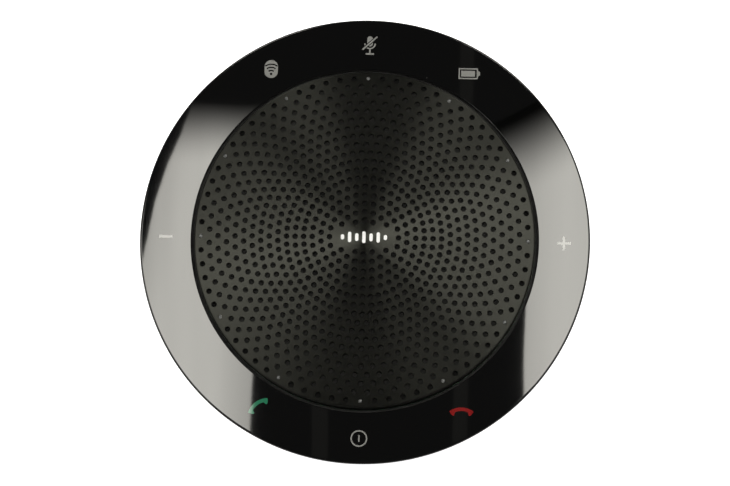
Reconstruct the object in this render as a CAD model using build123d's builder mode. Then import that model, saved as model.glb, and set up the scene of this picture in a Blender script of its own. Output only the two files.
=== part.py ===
from build123d import *
import os
from math import asin, cos, degrees, radians, sin, sqrt

# Conference speakerphone: a round puck that lies on a table.
# Millimetres, +Z up, origin at the centre of the foot's resting face, front at -Y.

# ---- driving dimensions ----
OUTER_R = 60.0  # widest point, the rim of the gloss ring
HEIGHT = 32.5  # table to the top of the centre mark
FOOT_BOTTOM_Z = 0.0
BASE_BOTTOM_Z = 1.0
BASE_TOP_Z = 3.0
FLOOR_BOTTOM_Z = 11.2  # roof of the groove that the cord winds into
FLOOR_TOP_Z = 13.0
PARTING_Z = 23.3  # top of the lower housing
CHASSIS_BOTTOM_Z = 23.4
CHASSIS_TOP_Z = 24.9
WALL = 1.8

# grille dome
MARK_H = 0.1
DOME_TOP_Z = HEIGHT - MARK_H
DOME_R = 431.0  # radius of curvature
GRILLE_R = 45.4
GRILLE_T = 0.8
GRILLE_EDGE_R = 0.9
GRILLE_SKIRT_Z = 26.6
LIGHT_R = 43.5  # circle of light dots
LIGHT_HOLE_R = 0.48
LIGHT_PIN_R = 0.45

# gloss ring
RING_IN_R = 46.3
RING_TOP_Z = 28.4
RING_EDGE_R = 0.6  # rounding of the rim
RING_LIP_R = 0.2  # rounding of the inner edge
RING_SKIRT_R = 58.6
RING_SKIRT_Z = 23.5
RING_T = 1.6
LIGHT_COUNT = 12
KEY_R = 53.0
KEY_ANGLES = (0, 60, 90, 120, 180, 240, 270, 300)

# base and lower housing
FOOT_IN_R = 38.0
FOOT_OUT_R = 44.0
FOOT_SEAT = 0.6
BASE_R = 46.0
HUB_R = 37.0
HUB_WALL = 1.6
FLOOR_OUT_R = 46.5
FLOOR_IN_R = 27.0
BOWL_MID = (53.6, 16.13)
BOWL_TOP_R = 58.4
LABEL_SIZE = (38.0, 22.0)
LABEL_T = 0.15

# loudspeaker
BASKET_FLANGE = 57.0
BASKET_CORNER = 7.0
BASKET_Z = 25.3
BASKET_T = 1.2
CONE_OUT_R = 22.0
SURROUND_OUT_R = 25.4
ROLL_T = 0.4
COIL_IN_R = 9.4
COIL_OUT_R = 10.4
COIL_BOTTOM_Z = 19.0
YOKE_BOTTOM_Z = 16.3
YOKE_R = 14.0
PLATE_R = 9.0

# main board
BOARD_R = 33.4
BOARD_Z = 13.4
BOARD_T = 1.2
BOARD_TOP_Z = BOARD_Z + BOARD_T

# headset socket
JACK_Z = 17.6
JACK_FACE = 50.0
JACK_BORE_R = 1.8
JACK_BORE_L = 14.0
JACK_NOSE_R = 3.0
JACK_POCKET_R = 4.2
JACK_SHOULDER = 44.5
JACK_BODY = (9.0, 7.6, 6.4)

# screws: thread radius, head radius, head height
HOUSING_SCREW = (1.2, 2.2, 1.2)
BASE_SCREW = (1.1, 2.0, 1.1)
RING_SCREW = (0.9, 1.7, 0.8)
BOARD_SCREW = (0.9, 1.7, 0.8)
HOUSING_SCREW_R = 41.8
HOUSING_BOSS_R = 2.8
BASE_SCREW_R = 32.2
RING_SCREW_R = 49.6
BOARD_SCREW_R = 30.4
CARRIER_SCREW_R = 39.0
SPEAKER_SCREW_R = 34.0

CORD_R = 1.6
GLAND_ANGLE = 157
GLAND_Z = 7.1

os.makedirs("parts", exist_ok=True)
written = []


def write(part, name):
    part.label = name
    export_step(part, f"parts/{name}.step")
    written.append(name)


def dome_z(r, drop=0.0):
    """Height of the grille's dome at radius r, or of the concentric dome lying drop below it."""
    ball = DOME_R - drop
    return DOME_TOP_Z - DOME_R + sqrt(ball * ball - r * r)


def dome_arc(r, drop=0.0):
    """Arc in the profile plane from the dome's middle out to radius r."""
    ball = DOME_R - drop
    return CenterArc((0, DOME_TOP_Z - DOME_R), ball, 90, -degrees(asin(r / ball)))


def screw_set(name, radius, count, start, seat_z, length, size, heads_down=True):
    """Write one node of identical cross-recess screws on a circle."""
    shank_r, head_r, head_h = size
    up = 1 if heads_down else -1
    with BuildPart() as screws:
        with BuildSketch(Plane.XY.offset(seat_z)):
            with PolarLocations(radius, count, start_angle=start):
                Circle(shank_r)
        extrude(amount=up * length)
        with BuildSketch(Plane.XY.offset(seat_z)):
            with PolarLocations(radius, count, start_angle=start):
                Circle(head_r)
        extrude(amount=-up * head_h)
        head_face = seat_z - up * head_h
        with BuildSketch(Plane.XY.offset(head_face)):
            with PolarLocations(radius, count, start_angle=start):
                Rectangle(head_r * 1.1, head_r * 0.28)
                Rectangle(head_r * 0.28, head_r * 1.1)
        extrude(amount=up * head_h * 0.5, mode=Mode.SUBTRACT)
    write(screws.part, name)


# ---- grille: pressed dome with a short skirt; its fine sound holes are left out here ----
grille_bend_r = GRILLE_R - GRILLE_EDGE_R
with BuildPart() as grille:
    with BuildSketch(Plane.XZ) as grille_profile:
        with BuildLine():
            outer_dome = dome_arc(grille_bend_r)
            bend = TangentArc(
                outer_dome @ 1,
                (GRILLE_R, (outer_dome @ 1).Y - GRILLE_EDGE_R),
                tangent=outer_dome % 1,
            )
            inner_dome = dome_arc(grille_bend_r - 0.3, GRILLE_T)
            Polyline(
                bend @ 1,
                (GRILLE_R, GRILLE_SKIRT_Z),
                (GRILLE_R - GRILLE_T, GRILLE_SKIRT_Z),
                (GRILLE_R - GRILLE_T, (inner_dome @ 1).Y - 0.4),
                inner_dome @ 1,
            )
            Line(inner_dome @ 0, outer_dome @ 0)
        make_face()
    revolve(axis=Axis.Z)
    with BuildSketch(Plane.XY.offset(GRILLE_SKIRT_Z + 2.0)):
        with PolarLocations(LIGHT_R, LIGHT_COUNT):
            Circle(LIGHT_HOLE_R)
    extrude(amount=HEIGHT - GRILLE_SKIRT_Z, mode=Mode.SUBTRACT)
write(grille.part, "grille")

# ---- centre mark: seven plain bars of unequal depth, seated in the middle of the dome ----
with BuildPart() as centre_mark:
    with BuildSketch(Plane.XY.offset(DOME_TOP_Z - 0.2)):
        for step, bar_depth in ((0, 3.2), (1, 2.1), (2, 2.8), (3, 1.4)):
            for side in (-1, 1):
                with Locations((side * step * 1.9, 0)):
                    SlotOverall(bar_depth, 0.9, rotation=90)
    extrude(amount=MARK_H + 0.2)
    # the bars stand on the dome and don't sink into it
    with BuildSketch(Plane.XZ):
        with BuildLine():
            dome = dome_arc(12)
            Polyline(dome @ 1, (12, DOME_TOP_Z - 3), (0, DOME_TOP_Z - 3), dome @ 0)
        make_face()
    revolve(axis=Axis.Z, mode=Mode.SUBTRACT)
write(centre_mark.part, "centre_mark")

# ---- light ring: a clear ring with twelve pins that end in the grille's outer row ----
LIGHT_RING_Z = 26.5
LIGHT_RING_T = 0.8
with BuildPart() as light_ring:
    with BuildSketch(Plane.XY.offset(LIGHT_RING_Z)):
        Circle(LIGHT_R + 0.75)
        Circle(LIGHT_R - 0.75, mode=Mode.SUBTRACT)
    extrude(amount=LIGHT_RING_T)
    with BuildSketch(Plane.XY.offset(LIGHT_RING_Z + LIGHT_RING_T)):
        with PolarLocations(LIGHT_R, LIGHT_COUNT):
            Circle(LIGHT_PIN_R)
    extrude(amount=dome_z(LIGHT_R) - 0.05 - LIGHT_RING_Z - LIGHT_RING_T)
write(light_ring.part, "light_ring")

# ---- dust mesh: thin cloth stretched over the carrier, just under the grille ----
MESH_R = 42.2
MESH_T = 0.3
MESH_DROP = GRILLE_T + 0.05
with BuildPart() as dust_mesh:
    with BuildSketch(Plane.XZ):
        with BuildLine():
            upper = dome_arc(MESH_R, MESH_DROP)
            lower = dome_arc(MESH_R, MESH_DROP + MESH_T)
            Line(upper @ 1, lower @ 1)
            Line(upper @ 0, lower @ 0)
        make_face()
    revolve(axis=Axis.Z)
write(dust_mesh.part, "dust_mesh")

# ---- grille carrier: plastic ring that holds grille, mesh and light ring on the chassis ----
CARRIER_IN_R = 40.2
carrier_step_z = LIGHT_RING_Z + LIGHT_RING_T + 0.05
carrier_top_z = dome_z(CARRIER_IN_R, GRILLE_T) - 0.45
CARRIER_BOSS_R = 2.0
with BuildPart() as grille_carrier:
    with BuildSketch(Plane.XZ):
        with BuildLine():
            Polyline(
                (CARRIER_IN_R, CHASSIS_TOP_Z),
                (42.1, CHASSIS_TOP_Z),
                (42.1, carrier_step_z),
                (GRILLE_R - GRILLE_T - 0.05, carrier_step_z),
                (GRILLE_R - GRILLE_T - 0.05, 28.9),
                (42.4, dome_z(42.4, GRILLE_T) - 0.45),
                (CARRIER_IN_R, carrier_top_z),
                close=True,
            )
        make_face()
    revolve(axis=Axis.Z)
    with BuildSketch(Plane.XY.offset(CHASSIS_TOP_Z)):
        with PolarLocations(CARRIER_SCREW_R, 3):
            Circle(CARRIER_BOSS_R)
    extrude(amount=4.0)
    with BuildSketch(Plane.XY.offset(CHASSIS_TOP_Z)):
        with PolarLocations(CARRIER_SCREW_R, 3):
            Circle(BOARD_SCREW[0])
    extrude(amount=3.0, mode=Mode.SUBTRACT)
    with BuildSketch(Plane.XY.offset(carrier_step_z)):
        with PolarLocations(LIGHT_R, LIGHT_COUNT):
            Circle(0.5)
    extrude(amount=4.0, mode=Mode.SUBTRACT)
write(grille_carrier.part, "grille_carrier")
screw_set("carrier_screws", CARRIER_SCREW_R, 3, 0, CHASSIS_BOTTOM_Z, 4.3, BOARD_SCREW)

# ---- touch ring: gloss moulding, flat on top, with a rounded rim and a skirt that tapers in ----
RING_NOTCH_W = 7.0
RING_NOTCH_Y = -57.0
MIC_HOLE_R = 0.6
MIC_HOLE_Z = 25.1
RING_BOSS_R = 2.2
RING_UNDER_Z = RING_TOP_Z - WALL
RING_UNDER_R = 58.0
with BuildPart() as touch_ring:
    with BuildSketch(Plane.XZ):
        with BuildLine():
            Line((RING_IN_R, RING_TOP_Z), (OUTER_R - RING_EDGE_R, RING_TOP_Z))
            rim = CenterArc((OUTER_R - RING_EDGE_R, RING_TOP_Z - RING_EDGE_R), RING_EDGE_R, 90, -90)
            Polyline(
                rim @ 1,
                (RING_SKIRT_R, RING_SKIRT_Z),
                (RING_SKIRT_R - RING_T, RING_SKIRT_Z),
                (RING_UNDER_R, RING_UNDER_Z),
                (RING_IN_R, RING_UNDER_Z),
                (RING_IN_R, RING_TOP_Z),
            )
        make_face()
    revolve(axis=Axis.Z)
    inner_edges = touch_ring.faces().filter_by(GeomType.CYLINDER).edges().filter_by(GeomType.CIRCLE)
    fillet(inner_edges.sort_by(Axis.Z)[-1], RING_LIP_R)
    # screw bosses under the crown
    with BuildSketch(Plane.XY.offset(CHASSIS_TOP_Z + 1.05)):
        with PolarLocations(RING_SCREW_R, 6, start_angle=15):
            Circle(RING_BOSS_R)
    extrude(amount=RING_UNDER_Z - CHASSIS_TOP_Z - 0.75)
    with BuildSketch(Plane.XY.offset(CHASSIS_TOP_Z + 1.05)):
        with PolarLocations(RING_SCREW_R, 6, start_angle=15):
            Circle(RING_SCREW[0])
    extrude(amount=1.9, mode=Mode.SUBTRACT)
    # sound hole of the microphone, through the front of the skirt
    with BuildSketch(Plane.XZ.offset(RING_SKIRT_R - RING_T - 1.0)):
        with Locations((0, MIC_HOLE_Z)):
            Circle(MIC_HOLE_R)
    extrude(amount=5.0, mode=Mode.SUBTRACT)
write(touch_ring.part, "touch_ring")

# ---- gap seal: soft strip at the bottom of the gap between grille and ring ----
with BuildPart() as gap_seal:
    with BuildSketch(Plane.XY.offset(CHASSIS_TOP_Z + 1.0)):
        Circle(47.2)
        Circle(GRILLE_R + 0.1, mode=Mode.SUBTRACT)
    extrude(amount=RING_UNDER_Z - CHASSIS_TOP_Z - 1.05)
write(gap_seal.part, "gap_seal")

# ---- ring board: touch pads and lights, an annular circuit board on the chassis ----
RING_BOARD_IN_R = 42.3
RING_BOARD_OUT_R = 56.6
with BuildPart() as ring_board:
    with BuildSketch(Plane.XY.offset(CHASSIS_TOP_Z)):
        Circle(RING_BOARD_OUT_R)
        Circle(RING_BOARD_IN_R, mode=Mode.SUBTRACT)
        with PolarLocations(RING_SCREW_R, 6, start_angle=15):
            Circle(RING_SCREW[0] + 0.1, mode=Mode.SUBTRACT)
        with Locations((0, RING_NOTCH_Y)):
            Rectangle(RING_NOTCH_W, 5.0, mode=Mode.SUBTRACT)
    extrude(amount=1.0)
write(ring_board.part, "ring_board")

with BuildPart() as ring_leds:
    with BuildSketch(Plane.XY.offset(CHASSIS_TOP_Z + 1.0)):
        with PolarLocations(LIGHT_R, LIGHT_COUNT):
            Rectangle(0.8, 1.6)
        for angle in KEY_ANGLES:
            with PolarLocations(KEY_R, 1, start_angle=angle):
                Rectangle(0.8, 1.6)
    extrude(amount=0.5)
write(ring_leds.part, "ring_leds")
screw_set("ring_screws", RING_SCREW_R, 6, 15, CHASSIS_BOTTOM_Z, 4.2, RING_SCREW)

# ---- inner chassis: the baffle that carries loudspeaker, boards, carrier and ring ----
CHASSIS_R = 56.4
BAFFLE_HOLE_R = 25.9
CHASSIS_BOSS_BOTTOM_Z = 18.2
RIBBON_SLOT = (46.5, 48.5, 10.0)
RIB_R = 36.8
with BuildPart() as inner_chassis:
    with BuildSketch(Plane.XY.offset(CHASSIS_BOTTOM_Z)):
        Circle(CHASSIS_R)
    extrude(amount=CHASSIS_TOP_Z - CHASSIS_BOTTOM_Z)
    with BuildSketch(Plane.XY.offset(CHASSIS_BOSS_BOTTOM_Z)):
        with PolarLocations(HOUSING_SCREW_R, 6, start_angle=30):
            Circle(HOUSING_BOSS_R)
    extrude(amount=CHASSIS_BOTTOM_Z - CHASSIS_BOSS_BOTTOM_Z)
    # stiffening rib around the loudspeaker
    with BuildSketch(Plane.XY.offset(CHASSIS_BOTTOM_Z - 2.0)):
        Circle(RIB_R)
        Circle(RIB_R - 1.4, mode=Mode.SUBTRACT)
    extrude(amount=2.0)
    with BuildSketch(Plane.XY.offset(CHASSIS_BOTTOM_Z)):
        Circle(BAFFLE_HOLE_R)
        with PolarLocations(RING_SCREW_R, 6, start_angle=15):
            Circle(RING_SCREW[0] + 0.1)
        with PolarLocations(CARRIER_SCREW_R, 3):
            Circle(BOARD_SCREW[0] + 0.1)
        with PolarLocations(SPEAKER_SCREW_R, 4, start_angle=45):
            Circle(BOARD_SCREW[0])
        with Locations((-(RIBBON_SLOT[0] + RIBBON_SLOT[1]) / 2, 0)):
            Rectangle(RIBBON_SLOT[1] - RIBBON_SLOT[0], RIBBON_SLOT[2])
        with Locations((0, RING_NOTCH_Y)):
            Rectangle(RING_NOTCH_W, 5.0)
    extrude(amount=CHASSIS_TOP_Z - CHASSIS_BOTTOM_Z, mode=Mode.SUBTRACT)
    with BuildSketch(Plane.XY.offset(CHASSIS_BOSS_BOTTOM_Z)):
        with PolarLocations(HOUSING_SCREW_R, 6, start_angle=30):
            Circle(HOUSING_SCREW[0])
    extrude(amount=4.6, mode=Mode.SUBTRACT)
write(inner_chassis.part, "inner_chassis")

# ---- loudspeaker: gasket and basket ----
FLANGE_TOP_Z = BASKET_Z + BASKET_T
with BuildPart() as speaker_gasket:
    with BuildSketch(Plane.XY.offset(CHASSIS_TOP_Z)):
        RectangleRounded(BASKET_FLANGE, BASKET_FLANGE, BASKET_CORNER)
        Circle(27.0, mode=Mode.SUBTRACT)
        with PolarLocations(SPEAKER_SCREW_R, 4, start_angle=45):
            Circle(BOARD_SCREW[0] + 0.3, mode=Mode.SUBTRACT)
    extrude(amount=BASKET_Z - CHASSIS_TOP_Z)
write(speaker_gasket.part, "speaker_gasket")

SPIDER_SEAT_Z = 21.6
with BuildPart() as speaker_basket:
    with BuildSketch(Plane.XY.offset(BASKET_Z)):
        RectangleRounded(BASKET_FLANGE, BASKET_FLANGE, BASKET_CORNER)
        Circle(24.6, mode=Mode.SUBTRACT)
        with PolarLocations(SPEAKER_SCREW_R, 4, start_angle=45):
            Circle(BOARD_SCREW[0] + 0.1, mode=Mode.SUBTRACT)
    extrude(amount=BASKET_T)
    with BuildSketch(Plane.XZ):
        with BuildLine():
            Polyline(
                (24.6, BASKET_Z),
                (25.6, BASKET_Z),
                (20.6, SPIDER_SEAT_Z - 0.8),
                (YOKE_R + 1.0, 20.4),
                (YOKE_R + 1.0, 18.6),
                (YOKE_R, 18.6),
                (YOKE_R, 21.2),
                (17.6, SPIDER_SEAT_Z),
                (19.8, SPIDER_SEAT_Z),
                close=True,
            )
        make_face()
    revolve(axis=Axis.Z)
    # four windows let the cone's rear breathe
    with BuildSketch(Plane.XY.offset(SPIDER_SEAT_Z + 0.3)):
        with PolarLocations(24.0, 4, start_angle=45):
            Rectangle(7.0, 22.0)
    extrude(amount=BASKET_Z - SPIDER_SEAT_Z - 0.6, mode=Mode.SUBTRACT)
write(speaker_basket.part, "speaker_basket")
screw_set("speaker_screws", SPEAKER_SCREW_R, 4, 45, FLANGE_TOP_Z, 3.0, BOARD_SCREW, heads_down=False)

# ---- loudspeaker: surround, a half roll of rubber between basket and cone ----
roll_mid_r = (CONE_OUT_R + SURROUND_OUT_R) / 2
roll_r = (SURROUND_OUT_R - CONE_OUT_R) / 2
roll_base_z = FLANGE_TOP_Z
with BuildPart() as speaker_surround:
    with BuildSketch(Plane.XZ):
        with BuildLine():
            ThreePointArc(
                (CONE_OUT_R, roll_base_z), (roll_mid_r, roll_base_z + roll_r), (SURROUND_OUT_R, roll_base_z)
            )
            Line((SURROUND_OUT_R, roll_base_z), (27.4, roll_base_z))
            Line((27.4, roll_base_z), (27.4, roll_base_z + ROLL_T))
            Line((27.4, roll_base_z + ROLL_T), (SURROUND_OUT_R + 0.3, roll_base_z + ROLL_T))
            ThreePointArc(
                (SURROUND_OUT_R + 0.3, roll_base_z + ROLL_T),
                (roll_mid_r, roll_base_z + roll_r + ROLL_T),
                (CONE_OUT_R - 0.3, roll_base_z + ROLL_T),
            )
            Line((CONE_OUT_R - 0.3, roll_base_z + ROLL_T), (20.9, roll_base_z + ROLL_T))
            Line((20.9, roll_base_z + ROLL_T), (20.9, roll_base_z))
            Line((20.9, roll_base_z), (CONE_OUT_R, roll_base_z))
        make_face()
    revolve(axis=Axis.Z)
write(speaker_surround.part, "speaker_surround")

# ---- loudspeaker: moving parts ----
CONE_T = 0.4
CONE_NECK_Z = 22.7
with BuildPart() as speaker_cone:
    with BuildSketch(Plane.XZ):
        with BuildLine():
            Polyline(
                (COIL_OUT_R + 0.05, CONE_NECK_Z),
                (21.2, FLANGE_TOP_Z - 0.4),
                (CONE_OUT_R - 0.1, FLANGE_TOP_Z - 0.4),
                (CONE_OUT_R - 0.1, FLANGE_TOP_Z),
                (20.9, FLANGE_TOP_Z),
                (COIL_OUT_R + 0.05, CONE_NECK_Z + CONE_T + 0.05),
                close=True,
            )
        make_face()
    revolve(axis=Axis.Z)
write(speaker_cone.part, "speaker_cone")

CAP_R = 10.3
CAP_Z = 23.6
CAP_H = 2.6
with BuildPart() as dust_cap:
    with BuildSketch(Plane.XZ):
        with BuildLine():
            cap_curve = (CAP_R * CAP_R + CAP_H * CAP_H) / (2 * CAP_H)
            cap_centre = CAP_Z + CAP_H - cap_curve
            half_r = CAP_R / 2
            inner_curve = cap_curve - 0.3
            ThreePointArc(
                (CAP_R, CAP_Z), (half_r, cap_centre + sqrt(cap_curve**2 - half_r**2)), (0, CAP_Z + CAP_H)
            )
            Line((0, CAP_Z + CAP_H), (0, CAP_Z + CAP_H - 0.3))
            ThreePointArc(
                (0, CAP_Z + CAP_H - 0.3),
                (half_r, cap_centre + sqrt(inner_curve**2 - half_r**2)),
                (CAP_R - 0.4, CAP_Z - 0.15),
            )
            Line((CAP_R - 0.4, CAP_Z - 0.15), (CAP_R, CAP_Z))
        make_face()
    revolve(axis=Axis.Z)
write(dust_cap.part, "dust_cap")

with BuildPart() as voice_coil:
    # thin former up to the cone's neck, with the winding around its lower end
    with BuildSketch(Plane.XY.offset(COIL_BOTTOM_Z)):
        Circle(COIL_IN_R + 0.4)
        Circle(COIL_IN_R, mode=Mode.SUBTRACT)
    extrude(amount=CAP_Z - 0.2 - COIL_BOTTOM_Z)
    with BuildSketch(Plane.XY.offset(COIL_BOTTOM_Z)):
        Circle(COIL_OUT_R)
        Circle(COIL_IN_R + 0.3, mode=Mode.SUBTRACT)
    extrude(amount=2.6)
    # collar that the cone's neck is glued around
    with BuildSketch(Plane.XY.offset(CONE_NECK_Z)):
        Circle(COIL_OUT_R + 0.05)
        Circle(COIL_IN_R + 0.3, mode=Mode.SUBTRACT)
    extrude(amount=CONE_T)
write(voice_coil.part, "voice_coil")

# ---- loudspeaker: spider, a corrugated disc that centres the coil ----
SPIDER_IN_R = COIL_IN_R + 0.4
SPIDER_OUT_R = 19.6
SPIDER_FOLDS = 4
fold_w = (SPIDER_OUT_R - 2.0 - SPIDER_IN_R) / (2 * SPIDER_FOLDS)
with BuildPart() as speaker_spider:
    with BuildSketch(Plane.XZ):
        with BuildLine():
            points = []
            for i in range(2 * SPIDER_FOLDS + 1):
                rise = 0.5 if i % 2 else 0.0
                points.append((SPIDER_IN_R + i * fold_w, SPIDER_SEAT_Z + rise))
            points.append((SPIDER_OUT_R, SPIDER_SEAT_Z))
            upper = [(r, z + 0.25) for r, z in reversed(points)]
            Polyline(*points, *upper, close=True)
        make_face()
    revolve(axis=Axis.Z)
write(speaker_spider.part, "speaker_spider")

# ---- loudspeaker: magnet system ----
YOKE_FLOOR_Z = YOKE_BOTTOM_Z + 1.3
with BuildPart() as speaker_yoke:
    with BuildSketch(Plane.XY.offset(YOKE_BOTTOM_Z)):
        Circle(YOKE_R)
    extrude(amount=4.5)
    with BuildSketch(Plane.XY.offset(YOKE_FLOOR_Z)):
        Circle(12.4)
    extrude(amount=1.9, mode=Mode.SUBTRACT)
    with BuildSketch(Plane.XY.offset(YOKE_FLOOR_Z + 1.9)):
        Circle(10.8)
    extrude(amount=2.0, mode=Mode.SUBTRACT)
    chamfer(speaker_yoke.edges().group_by(Axis.Z)[0], 0.4)
write(speaker_yoke.part, "speaker_yoke")

with BuildPart() as speaker_magnet:
    with BuildSketch(Plane.XY.offset(YOKE_FLOOR_Z)):
        Circle(PLATE_R - 0.4)
    extrude(amount=1.9)
write(speaker_magnet.part, "speaker_magnet")

with BuildPart() as pole_plate:
    with BuildSketch(Plane.XY.offset(YOKE_FLOOR_Z + 1.9)):
        Circle(PLATE_R)
    extrude(amount=1.3)
write(pole_plate.part, "pole_plate")

# ---- lower housing: a shallow bowl with a flat floor ----
bowl_rim = (BOWL_TOP_R, PARTING_Z)
HOUSING_BOSS_TOP_Z = 18.0
with BuildPart() as lower_housing:
    with BuildSketch(Plane.XZ) as bowl_section:
        with BuildLine():
            Line((FLOOR_IN_R, FLOOR_BOTTOM_Z), (FLOOR_OUT_R, FLOOR_BOTTOM_Z))
            ThreePointArc((FLOOR_OUT_R, FLOOR_BOTTOM_Z), BOWL_MID, bowl_rim)
            offset(amount=WALL, side=Side.LEFT)
        make_face()
    revolve(axis=Axis.Z)
    # bosses for the housing screws, the base screws and the board
    with BuildSketch(Plane.XY.offset(FLOOR_TOP_Z)):
        with PolarLocations(HOUSING_SCREW_R, 6, start_angle=30):
            Circle(HOUSING_BOSS_R)
    extrude(amount=HOUSING_BOSS_TOP_Z - FLOOR_TOP_Z)
    with BuildSketch(Plane.XY.offset(FLOOR_TOP_Z)):
        with PolarLocations(BASE_SCREW_R, 4, start_angle=45):
            Circle(2.4)
    extrude(amount=3.4)
    with BuildSketch(Plane.XY.offset(FLOOR_TOP_Z)):
        with PolarLocations(BOARD_SCREW_R, 4):
            Circle(2.2)
    extrude(amount=BOARD_Z - FLOOR_TOP_Z)
    # collar of the headset socket, cut to the bowl's outer face
    with BuildSketch(Plane.YZ.offset(JACK_FACE - 4.0)):
        with Locations((0, JACK_Z)):
            Circle(JACK_POCKET_R + 1.2)
    extrude(amount=9.0)
    with BuildSketch(Plane.XZ):
        with BuildLine():
            Line((0, FLOOR_BOTTOM_Z), (FLOOR_OUT_R, FLOOR_BOTTOM_Z))
            ThreePointArc((FLOOR_OUT_R, FLOOR_BOTTOM_Z), BOWL_MID, bowl_rim)
            Line(bowl_rim, (0, PARTING_Z))
            Line((0, PARTING_Z), (0, FLOOR_BOTTOM_Z))
        make_face()
    revolve(axis=Axis.Z, mode=Mode.INTERSECT)
    with BuildSketch(Plane.YZ.offset(JACK_FACE)):
        with Locations((0, JACK_Z)):
            Circle(JACK_POCKET_R)
    extrude(amount=12.0, mode=Mode.SUBTRACT)
    with BuildSketch(Plane.YZ.offset(JACK_FACE - 6.0)):
        with Locations((0, JACK_Z)):
            Circle(JACK_NOSE_R + 0.05)
    extrude(amount=8.0, mode=Mode.SUBTRACT)
    # tongue that locates the touch ring's skirt
    with BuildSketch(Plane.XY.offset(PARTING_Z - 1.0)):
        Circle(RING_SKIRT_R - RING_T - 0.05)
        Circle(RING_SKIRT_R - RING_T - 0.5, mode=Mode.SUBTRACT)
    extrude(amount=1.6)
    # counterbores and through holes of the housing screws, from below
    with BuildSketch(Plane.XY.offset(FLOOR_BOTTOM_Z)):
        with PolarLocations(HOUSING_SCREW_R, 6, start_angle=30):
            Circle(HOUSING_SCREW[1] + 0.2)
    extrude(amount=HOUSING_SCREW[2] + 0.2, mode=Mode.SUBTRACT)
    with BuildSketch(Plane.XY.offset(FLOOR_BOTTOM_Z)):
        with PolarLocations(HOUSING_SCREW_R, 6, start_angle=30):
            Circle(HOUSING_SCREW[0] + 0.1)
        with PolarLocations(BASE_SCREW_R, 4, start_angle=45):
            Circle(BASE_SCREW[0])
    extrude(amount=HOUSING_BOSS_TOP_Z - FLOOR_BOTTOM_Z, mode=Mode.SUBTRACT)
    with BuildSketch(Plane.XY.offset(FLOOR_BOTTOM_Z + 0.5)):
        with PolarLocations(BOARD_SCREW_R, 4):
            Circle(BOARD_SCREW[0])
    extrude(amount=BOARD_Z - FLOOR_BOTTOM_Z, mode=Mode.SUBTRACT)
write(lower_housing.part, "lower_housing")
housing_seat_z = FLOOR_BOTTOM_Z + HOUSING_SCREW[2] + 0.2
screw_set("housing_screws", HOUSING_SCREW_R, 6, 30, housing_seat_z, 9.6, HOUSING_SCREW)

# ---- cable hub: the drum that the cord winds around, hollow for the battery ----
with BuildPart() as cable_hub:
    with BuildSketch(Plane.XY.offset(BASE_TOP_Z)):
        Circle(HUB_R)
        Circle(HUB_R - HUB_WALL, mode=Mode.SUBTRACT)
        with PolarLocations(BASE_SCREW_R, 4, start_angle=45):
            Circle(3.4)
    extrude(amount=FLOOR_BOTTOM_Z - BASE_TOP_Z)
    with BuildSketch(Plane.XY.offset(BASE_TOP_Z)):
        with PolarLocations(BASE_SCREW_R, 4, start_angle=45):
            Circle(BASE_SCREW[0] + 0.1)
    extrude(amount=FLOOR_BOTTOM_Z - BASE_TOP_Z, mode=Mode.SUBTRACT)
    # hole of the cable gland
    gland_plane = Plane(
        origin=(0, 0, GLAND_Z),
        x_dir=(-sin(radians(GLAND_ANGLE)), cos(radians(GLAND_ANGLE)), 0),
        z_dir=(cos(radians(GLAND_ANGLE)), sin(radians(GLAND_ANGLE)), 0),
    )
    with BuildSketch(gland_plane.offset(HUB_R - 6.0)):
        Circle(CORD_R + 1.0)
    extrude(amount=8.0, mode=Mode.SUBTRACT)
write(cable_hub.part, "cable_hub")

with BuildPart() as cable_gland:
    with BuildSketch(gland_plane.offset(HUB_R - HUB_WALL - 0.9)):
        Circle(CORD_R + 1.9)
    extrude(amount=0.75)
    with BuildSketch(gland_plane.offset(HUB_R - HUB_WALL - 0.5)):
        Circle(CORD_R + 0.95)
    extrude(amount=HUB_WALL + 0.9)
    with BuildSketch(gland_plane.offset(HUB_R + 0.05)):
        Circle(CORD_R + 1.6)
    extrude(amount=0.6)
    with BuildSketch(gland_plane.offset(HUB_R - HUB_WALL - 1.0)):
        Circle(CORD_R)
    extrude(amount=4.0, mode=Mode.SUBTRACT)
write(cable_gland.part, "cable_gland")

# ---- base plate, foot ring and rating label ----
with BuildPart() as base_plate:
    with BuildSketch(Plane.XY.offset(BASE_BOTTOM_Z)):
        Circle(BASE_R)
    extrude(amount=BASE_TOP_Z - BASE_BOTTOM_Z)
    fillet(base_plate.edges().group_by(Axis.Z)[0], 0.9)
    fillet(base_plate.edges().group_by(Axis.Z)[-1], 0.5)
    with BuildSketch(Plane.XY.offset(BASE_BOTTOM_Z)):
        Circle(FOOT_OUT_R)
        Circle(FOOT_IN_R, mode=Mode.SUBTRACT)
        with PolarLocations(BASE_SCREW_R, 4, start_angle=45):
            Circle(BASE_SCREW[1] + 0.2)
    extrude(amount=FOOT_SEAT, mode=Mode.SUBTRACT)
    with BuildSketch(Plane.XY.offset(BASE_BOTTOM_Z)):
        with PolarLocations(BASE_SCREW_R, 4, start_angle=45):
            Circle(BASE_SCREW[1] + 0.2)
    extrude(amount=BASE_SCREW[2], mode=Mode.SUBTRACT)
    with BuildSketch(Plane.XY.offset(BASE_BOTTOM_Z)):
        with PolarLocations(BASE_SCREW_R, 4, start_angle=45):
            Circle(BASE_SCREW[0] + 0.1)
    extrude(amount=BASE_TOP_Z - BASE_BOTTOM_Z, mode=Mode.SUBTRACT)
    with BuildSketch(Plane.XY.offset(BASE_BOTTOM_Z)):
        RectangleRounded(LABEL_SIZE[0] + 0.4, LABEL_SIZE[1] + 0.4, 1.7)
    extrude(amount=LABEL_T + 0.05, mode=Mode.SUBTRACT)
write(base_plate.part, "base_plate")
screw_set("base_screws", BASE_SCREW_R, 4, 45, BASE_BOTTOM_Z + BASE_SCREW[2], 13.2, BASE_SCREW)

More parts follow.
